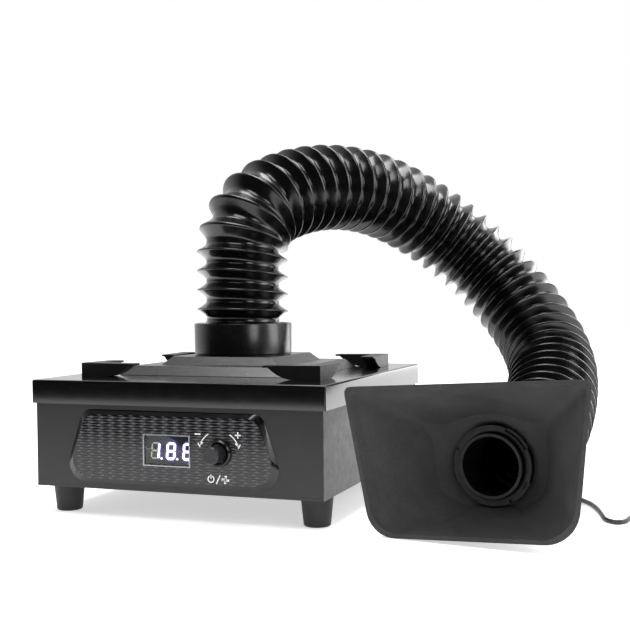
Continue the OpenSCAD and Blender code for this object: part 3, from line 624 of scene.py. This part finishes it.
# CAD nodes whose shape is right, with their edges eased: (material, slot, body, ease in mm)
EASED = {
    "case_shell": (satin_paint, "case_paint", "case", 0.7),
    "front_panel": (satin_paint, "case_paint", "case", 0.35),
    "bottom_plate": (satin_paint, "case_paint", "case", 0.5),
    "corner_blocks": (moulded_abs, "block_plastic", "case", 0.5),
    "duct_adapter": (satin_black_paint, "adapter_paint", "adapter", 0.6),
    "exhaust_grille": (satin_paint, "case_paint", "case", 0.3),
    "filter_tray": (tray_abs, "tray_plastic", "case", 0.4),
    "display_bezel": (satin_chrome, "bezel_metal", "case", 0.25),
    "power_adapter": (brick_abs, "brick_plastic", "case", 2.0),
    "coil_tie": (throat_nylon, "jack_plastic", "case", 0.2),
    "hepa_filter": (pleated_paper, "filter_paper", "case", 0.5),
    "carbon_filter": (foam_black, "carbon_foam", "case", 1.0),
    "sponge_prefilter": (foam_grey, "sponge_foam", "case", 1.0),
    "fan_frame": (throat_nylon, "fan_plastic", "case", 0.3),
    "barrel_plug": (throat_nylon, "jack_plastic", "case", 0.4),
    "dc_jack": (throat_nylon, "jack_plastic", "case", 0.3),
    "case_screws": (zinc_steel, "screw_steel", "case", 0.2),
}
SHARP_FOLD, LOW_FOLD = 30, 8  # degrees from which an edge is eased; the adapter's folds are shallow
for name, (finish, slot_name, body, ease) in EASED.items():
    shallow = name == "duct_adapter"
    eased = softened(name, ease, angle=LOW_FOLD if shallow else SHARP_FOLD)
    made(name + "_eased", eased, finish, body, (name,), place=IDENTITY, sharp=10 if shallow else 35,
         flat_faces=True)

PLAIN = {
    "foot_screws": zinc_steel, "filter_guard": bright_wire, "adapter_gasket": gasket_foam, "fan_motor": copper_winding,
    "fan_bearings": bearing_steel, "fan_rotor": throat_nylon, "fan_screws": zinc_steel, "fan_spacers": gasket_foam,
    "encoder": cast_zinc, "encoder_rotor": rotor_acetal, "encoder_nut": zinc_steel, "control_board": board_mask,
    "board_spacers": turned_brass, "jack_nut": zinc_steel, "wiring": wire_pvc, "adapter_pins": nickel_pin,
    "display_module": throat_nylon,
}
for name, finish in PLAIN.items():
    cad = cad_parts[name].data
    cad.materials.clear()
    cad.materials.append(finish)

# ---------------------------------------------------------------- fascia, display and knob
# Gloss-laminated film printed with a fine woven look: rows of lens-shaped dashes, each 4.5 mm long and 2 mm high
woven_film, tree, shader = material("gloss_woven_print_film", IOR=1.5)
DASH_LONG, DASH_HIGH = 4.5, 2.0
spot = node(tree, "SeparateXYZ", {"Vector": node(tree, "TexCoord").outputs["Object"]})
across = node(tree, "Math", {0: spot.outputs["X"], 1: 1000 / DASH_LONG}, operation="MULTIPLY").outputs[0]
upward = node(tree, "Math", {0: spot.outputs["Z"], 1: 1000 / DASH_HIGH}, operation="MULTIPLY").outputs[0]
row = node(tree, "Math", {0: upward}, operation="FLOOR").outputs[0]
odd = node(tree, "Math", {0: row, 1: 2.0}, operation="MODULO").outputs[0]
offset = node(tree, "Math", {0: odd, 1: 0.5, 2: across}, operation="MULTIPLY_ADD").outputs[0]
along = node(tree, "Math", {0: offset, 1: 1.0}, operation="PINGPONG").outputs[0]
lens = node(tree, "Math", {0: along, 1: 2.2}, operation="POWER").outputs[0]
height = node(tree, "Math", {0: upward, 1: 0.5}, operation="PINGPONG").outputs[0]
thick = node(tree, "Math", {0: lens, 1: -0.42, 2: 0.5}, operation="MULTIPLY_ADD").outputs[0]
inside = node(tree, "Math", {0: height, 1: thick}, operation="SUBTRACT").outputs[0]
dash = node(tree, "MapRange", {"Value": inside, "From Min": -0.16, "From Max": 0.1}).outputs[0]
node(tree, "Mix", {"Factor": dash, "A": colour("#08080a"), "B": colour("#48484b")}, shader, "Base Color",
     data_type="RGBA")
node(tree, "MapRange", {"Value": dash, "To Min": 0.12, "To Max": 0.3}, shader, "Roughness")
node(tree, "Bump", {"Height": dash, "Strength": 0.25, "Distance": 0.15 / 1000}, shader, "Normal")
# Gloss black lacquer on the fascia's sloping rim: a plain dark band with a bright line at its crease
rim_gloss = surface_finish("gloss_black_rim_of_fascia", Base_Color=colour("#08080a"), IOR=1.5,
                           Roughness=(5, 3, 0.1, 0.2))
plate = made("fascia_plate", softened("fascia", 0.45, 3, angle=25), woven_film, "case", ("fascia",),
             place=IDENTITY, sharp=30, flat_faces=True)
plate.data.materials.append(rim_gloss)
for face in plate.data.polygons:
    if face.normal.y > -0.97:
        face.material_index = 1

FASCIA_Y = -0.4
KNOB = Vector((38.6, 0, 53.5))
# Screen-printed ink: flat white
white_ink = surface_finish("white_screen_ink", Roughness=0.5, Base_Color=(1.2, 3, "#f0f0ee", "#ffffff"))


def bar(x, z, width, height, lean=0.0):
    """A flat printed bar standing on the fascia."""
    bm = box_bm((-width / 2, -0.05, -height / 2), (width / 2, 0.05, height / 2))
    return moved(bm, Matrix.Translation((x, FASCIA_Y, z)) @ Matrix.Rotation(math.radians(lean), 4, "Y"))


def arc_mark(x, z, radius, width, start, sweep, steps=24):
    """A printed arc, spun from a small rectangle about a point on the fascia."""
    bm = bmesh.new()
    face = bm.faces.new([bm.verts.new((radius + dr, dy, 0)) for dr, dy in
                         ((-width / 2, -0.05), (width / 2, -0.05), (width / 2, 0.05), (-width / 2, 0.05))])
    bmesh.ops.rotate(bm, verts=bm.verts, cent=(0, 0, 0), matrix=Matrix.Rotation(-math.radians(start), 3, "Y"))
    bmesh.ops.spin(bm, geom=[face], cent=(0, 0, 0), axis=(0, -1, 0), dvec=(0, 0, 0), angle=math.radians(sweep),
                   steps=steps, use_merge=abs(sweep) >= 359.9, use_duplicate=False)
    return moved(bm, Matrix.Translation((x, FASCIA_Y, z)))


marks = [bar(21.6, 66.8, 4.6, 0.9), bar(53.5, 66.9, 4.6, 0.9), bar(53.5, 66.9, 0.9, 4.6),
         arc_mark(KNOB.x, KNOB.z, 16, 0.75, 122, 41), arc_mark(KNOB.x, KNOB.z, 16, 0.75, 17, 41),
         bar(22.6, 58.9, 0.8, 3.4, -30), bar(24.6, 59.9, 0.8, 3.0, 50), bar(54.6, 58.9, 0.8, 3.4, 30),
         bar(52.6, 59.9, 0.8, 3.0, -50),
         arc_mark(31.9, 34.4, 2.35, 0.75, 118, 304), bar(31.9, 36.2, 0.75, 3.0), bar(37.7, 34.3, 0.85, 7.2, 26)]
marks += [moved(bar(0, 0, 1.5, 2.6), Matrix.Translation((43.4, 0, 34.3)) @ Matrix.Rotation(math.radians(a), 4, "Y")
                @ Matrix.Translation((0.25, 0, 1.7))) for a in (0, 90, 180, 270)]
marks += [bar(43.4, 34.3, 0.7, 3.6), bar(43.4, 34.3, 3.6, 0.7)]
made("printed_marks", joined(*marks), white_ink, "case")

# Lit segments behind a moulded diffuser: white with a violet tinge
lit_segment = surface_finish("lit_white_segment", Base_Color=colour("#f4f4ff"), Roughness=0.5, Emission_Strength=4.0,
                             Emission_Color=(6, 2, "#d3ceff", "#f6f4ff"))
# Light scattered in the diffuser round them: violet
segment_halo = surface_finish("violet_glow_round_segment", Base_Color=colour("#2a2650"), Roughness=0.6,
                              Emission_Strength=1.1, Emission_Color=(5, 2, "#6c58f0", "#9184ff"))
# The glow's outer edge: a faint dark violet
outer_halo = surface_finish("faint_violet_glow", Base_Color=colour("#191828"), Roughness=0.6, Emission_Strength=0.55,
                            Emission_Color=(5, 2, "#3f359c", "#584dc4"))
# Unlit segments: pale yellowish plastic, with a faint painted glow (emission) that makes them read paler than lamp
# light alone would
unlit_segment = surface_finish("unlit_yellowish_segment_painted_glow", Base_Color=(3, 2, "#bfc28c", "#d2d5a4"), Roughness=0.5,
                               Emission_Color=colour("#c9cc86"), Emission_Strength=0.35)

DIGIT_H, DIGIT_W, SEG = 12.6, 7.3, 1.5
MODULE_Y = 1.6
SEGMENTS = {"a": (0, 1, 1), "d": (0, -1, 1), "g": (0, 0, 1), "b": (1, 0.5, 0), "c": (1, -0.5, 0), "f": (-1, 0.5, 0),
            "e": (-1, -0.5, 0)}


def segment(kind, x, z, grow, depth, hollow=False):
    """One segment: a bar with pointed ends, leaning with the digit."""
    col, level, flat = SEGMENTS[kind]
    length = (DIGIT_W - SEG if flat else DIGIT_H / 2 - SEG / 2) - 0.35 + grow
    half = SEG / 2 + grow / 2
    bm = bmesh.new()
    outline = [(-length / 2, 0), (-length / 2 + half, half), (length / 2 - half, half), (length / 2, 0),
               (length / 2 - half, -half), (-length / 2 + half, -half)]
    face = bm.faces.new([bm.verts.new((u, 0, v)) for u, v in outline])
    top = bmesh.ops.extrude_face_region(bm, geom=[face])["geom"]
    bmesh.ops.translate(bm, vec=(0, depth, 0), verts=[g for g in top if isinstance(g, bmesh.types.BMVert)])
    if not flat:
        moved(bm, Matrix.Rotation(math.pi / 2, 4, "Y"))
    moved(bm, Matrix.Translation((col * (DIGIT_W - SEG) / 2, 0, level * (DIGIT_H - SEG) / 2)))
    slant = Matrix.Identity(4)
    slant[0][2] = math.tan(math.radians(5))
    return moved(bm, Matrix.Translation((x, MODULE_Y, z)) @ slant)


digit_z = 53.2
lit, halo, far_halo, unlit = [], [], [], []
for x, on in ((-13.6, "bc"), (-0.9, "abcdefg"), (12.4, "abcdefg")):
    for kind in SEGMENTS:
        if kind in on:
            lit.append(segment(kind, x, digit_z, 0, -0.3))
            halo.append(segment(kind, x, digit_z, 1.1, -0.12))
            far_halo.append(segment(kind, x, digit_z, 2.6, -0.06))
        else:
            unlit.append(segment(kind, x, digit_z, -0.5, -0.2))
    dot = bmesh.new()
    bmesh.ops.create_cone(dot, cap_ends=True, segments=16, radius1=0.75, radius2=0.7, depth=0.3)
    lit.append(moved(dot, Matrix.Translation((x + 4.9, MODULE_Y - 0.1, digit_z - 5.6)) @ FACE_FRONT))
made("lit_segments", joined(*lit), lit_segment, "case")
made("segment_glow", joined(*halo), segment_halo, "case")
made("segment_outer_glow", joined(*far_halo), outer_halo, "case")
made("unlit_segments", joined(*unlit), unlit_segment, "case")

# Clear acrylic display window, polished
clear_acrylic = surface_finish("clear_acrylic", Base_Color=colour("#e8ecf2"), Roughness=0.03, IOR=1.49,
                               Transmission_Weight=1.0)
made("window_pane", softened("display_window", 0.15), clear_acrylic, "case", ("display_window",),
     place=IDENTITY)

# Soft-touch paint on the knob's moulded ABS: satin, with a glint along its chamfer
knob_paint = surface_finish("soft_touch_knob_paint", IOR=1.5, Base_Color=(3, 4, "#17171a", "#242427"),
                            Roughness=(2, 4, 0.24, 0.38), Normal=(0.5, 2, 0.12, 0.08))
# Polished moulded ABS of the ring round the knob: black with thin bright reflections
ring_gloss = surface_finish("gloss_black_abs", Base_Color=colour("#09090a"), IOR=1.53, Roughness=(5, 3, 0.09, 0.18))

AXIS_OUT = Matrix.Translation((KNOB.x, FASCIA_Y, KNOB.z)) @ FACE_FRONT
cap = spun([(0, 1.2), (5.9, 1.2), (6.4, 1.7), (6.5, 3), (6.45, 14.2), (6.2, 14.9), (5.5, 15.4), (0, 15.3)], 96)
for v in cap.verts:
    r = math.hypot(v.co.x, v.co.y)
    if r > 6.3 and 1.7 <= v.co.z <= 14.3 and round(math.atan2(v.co.y, v.co.x) / (2 * math.pi) * 96) % 3 == 0:
        v.co.x *= 0.975
        v.co.y *= 0.975
stem = spun([(0, -15.4), (3, -15.4), (3, 1.21), (0, 1.21)], 32)
made("knob_cap", moved(joined(cap, stem), AXIS_OUT), knob_paint, "knob", ("knob",))
ring = spun([(5.9, -2.9), (7, -2.9), (7, 0.0), (10, 0.0), (10, 1.2), (9.5, 2.4), (8.7, 3.0), (7.6, 2.7), (6.9, 1.6),
             (6.85, 0.1), (5.9, 0.1)], 96)
made("knob_bezel", moved(ring, AXIS_OUT), ring_gloss, "case", ("knob_ring",))

# ---------------------------------------------------------------- cord's strain relief boot
relief_boot = spun([(1.8, 0), (3.2, 0), (3.0, 3), (2.3, 6.6), (1.8, 7)], 24)
boot = made("adapter_cord_boot", moved(relief_boot, Matrix.Translation((332, 206.2, 14)) @ FACE_FRONT), flex_pvc,
            "case")

# ---------------------------------------------------------------- floor and light
# Matt white laminate: pale, lit a little from below so that it fades into the background
pale_floor = surface_finish("pale_matt_table", Base_Color=colour("#f4f4f4"), Roughness=0.75, Specular_IOR_Level=0.0,
                            Emission_Color=colour("#ffffff"), Emission_Strength=0.55)
table = bmesh.new()
bmesh.ops.create_grid(table, x_segments=2, y_segments=2, size=1)
bmesh.ops.scale(table, vec=(4500, 2700, 1), verts=table.verts)
bmesh.ops.translate(table, vec=(90, 2700 - 400, -0.05), verts=table.verts)
floor = made("table_top", table, pale_floor, None, recalc=False)

world = bpy.data.worlds.new("studio")
scene.world = world
world.use_nodes = True
sky = world.node_tree
sky.nodes.clear()
heading = node(sky, "SeparateXYZ", {"Vector": node(sky, "TexCoord").outputs["Generated"]})
behind = node(sky, "MapRange", {"Value": heading.outputs["Y"], "From Min": -0.55, "From Max": 0.15, "To Min": 0.03,
                                "To Max": 0.95}, interpolation_type="SMOOTHSTEP").outputs[0]
seen = node(sky, "LightPath").outputs["Is Camera Ray"]
strength = node(sky, "Mix", {"Factor": seen, "A": behind, "B": 1.0}, data_type="FLOAT").outputs["Result"]
backdrop = node(sky, "Background", {"Color": (1, 1, 1, 1), "Strength": strength})
node(sky, "OutputWorld", {"Surface": backdrop.outputs[0]})


def softbox(name, at, aim, width, height, power):
    light = bpy.data.lights.new(name, "AREA")
    light.shape, light.size, light.size_y, light.energy = "RECTANGLE", width, height, power
    lamp = bpy.data.objects.new(name, light)
    lamp.location = at
    lamp.rotation_euler = (Vector(aim) - Vector(at)).to_track_quat("-Z", "Y").to_euler()
    scene.collection.objects.link(lamp)


softbox("overhead_softbox", (-0.15, 0.15, 1.7), (0, 0, 0.1), 1.1, 0.8, 26)
softbox("back_right_softbox", (0.68, 1.4, 0.6), (0.05, 0, 0.1), 0.75, 1.5, 12)
softbox("right_softbox", (1.7, 0.3, 0.8), (0.05, 0, 0.1), 0.8, 1.2, 14)
softbox("high_front_softbox", (-0.1, -1.0, 1.7), (0, 0, 0.1), 1.0, 0.6, 13)
softbox("front_right_fill", (1.4, -1.3, 0.9), (0.1, -0.1, 0.1), 0.6, 0.8, 8)
